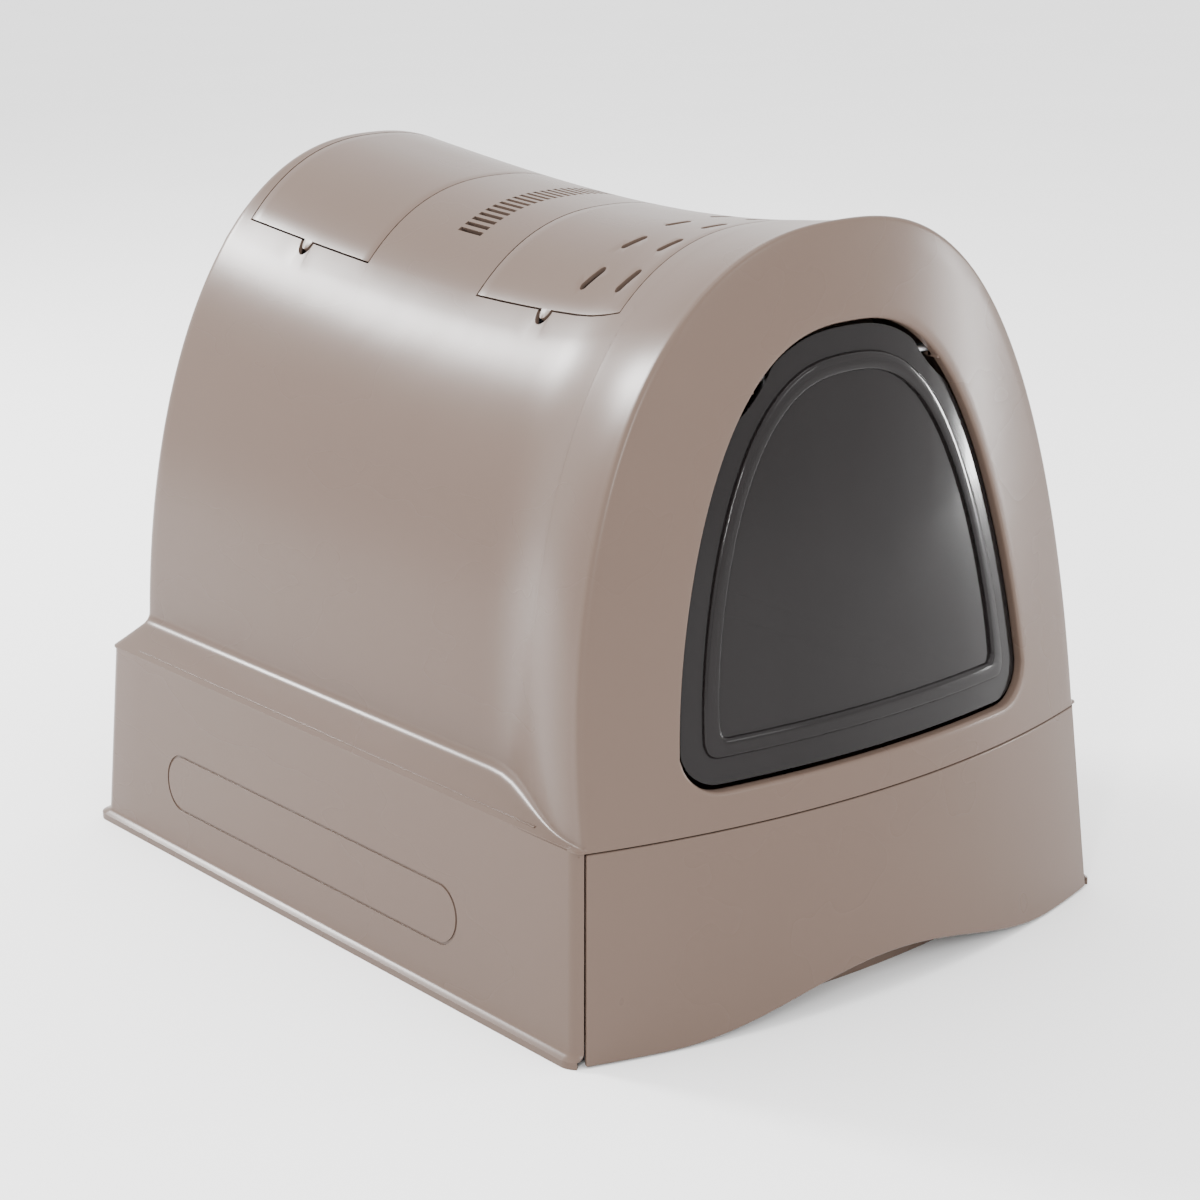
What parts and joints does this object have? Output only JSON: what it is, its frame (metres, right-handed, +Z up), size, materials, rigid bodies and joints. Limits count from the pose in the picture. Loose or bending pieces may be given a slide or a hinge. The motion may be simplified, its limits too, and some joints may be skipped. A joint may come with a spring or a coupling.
{
  "type": "hooded cat litter box",
  "caption": "Hooded cat litter box with a barrel roof, smoked swing door, pull-out litter drawer and hinged roof lids over a scoop store and a charcoal filter.",
  "frame": {"origin": "centre of the footprint on the floor", "axes": "+Z up, the front with the door and the drawer faces -Y, +X is the right-hand side seen from the front"},
  "size_m": [0.395, 0.54, 0.43],
  "materials": {
    "taupe": "satin moulded polypropylene",
    "smoked": "polished smoked see-through plastic",
    "rubber": "soft matt",
    "pin_steel": "drawn wire",
    "scoop": "fine moulded grain",
    "charcoal": "open charcoal foam"
  },
  "bodies": {
    "base": {"base": "taupe", "rubber_feet": "rubber", "drawer_runner_left": "taupe", "drawer_runner_right": "taupe"},
    "drawer": {"litter_tray": "taupe", "drawer_front": "taupe"},
    "hood": {"hood": "taupe", "door_pin_left": "pin_steel", "door_pin_right": "pin_steel", "storage_lid_pin_front": "pin_steel", "storage_lid_pin_rear": "pin_steel", "storage_bin": "taupe", "litter_scoop": "scoop", "filter_lid_pin_front": "pin_steel", "filter_lid_pin_rear": "pin_steel", "filter_cage": "taupe", "filter_grille": "taupe", "carbon_filter": "charcoal"},
    "door": {"swing_door": "smoked"},
    "rear_lid": {"storage_lid": "taupe"},
    "front_lid": {"filter_lid": "taupe"}
  },
  "joints": [
    {"name": "drawer_slide", "type": "slide", "parent": "base", "child": "drawer", "axis": [0, -1, 0], "range_m": [0, 0.32]},
    {"name": "hood_lift", "type": "slide", "parent": "base", "child": "hood", "axis": [0, 0, 1], "range_m": [0, 0.25]},
    {"name": "door_swing", "type": "hinge", "parent": "hood", "child": "door", "pos_m": [0, -0.22633, 0.345], "axis": [1, 0, 0], "range_deg": [-60, 60]},
    {"name": "storage_lid_hinge", "type": "hinge", "parent": "hood", "child": "rear_lid", "pos_m": [0.0863, 0.141, 0.37873], "axis": [0, 0.9961, 0.0887], "range_deg": [0, 90]},
    {"name": "filter_lid_hinge", "type": "hinge", "parent": "hood", "child": "front_lid", "pos_m": [0.0863, -0.096, 0.37145], "axis": [0, 0.9985, -0.0548], "range_deg": [0, 100]}
  ]
}
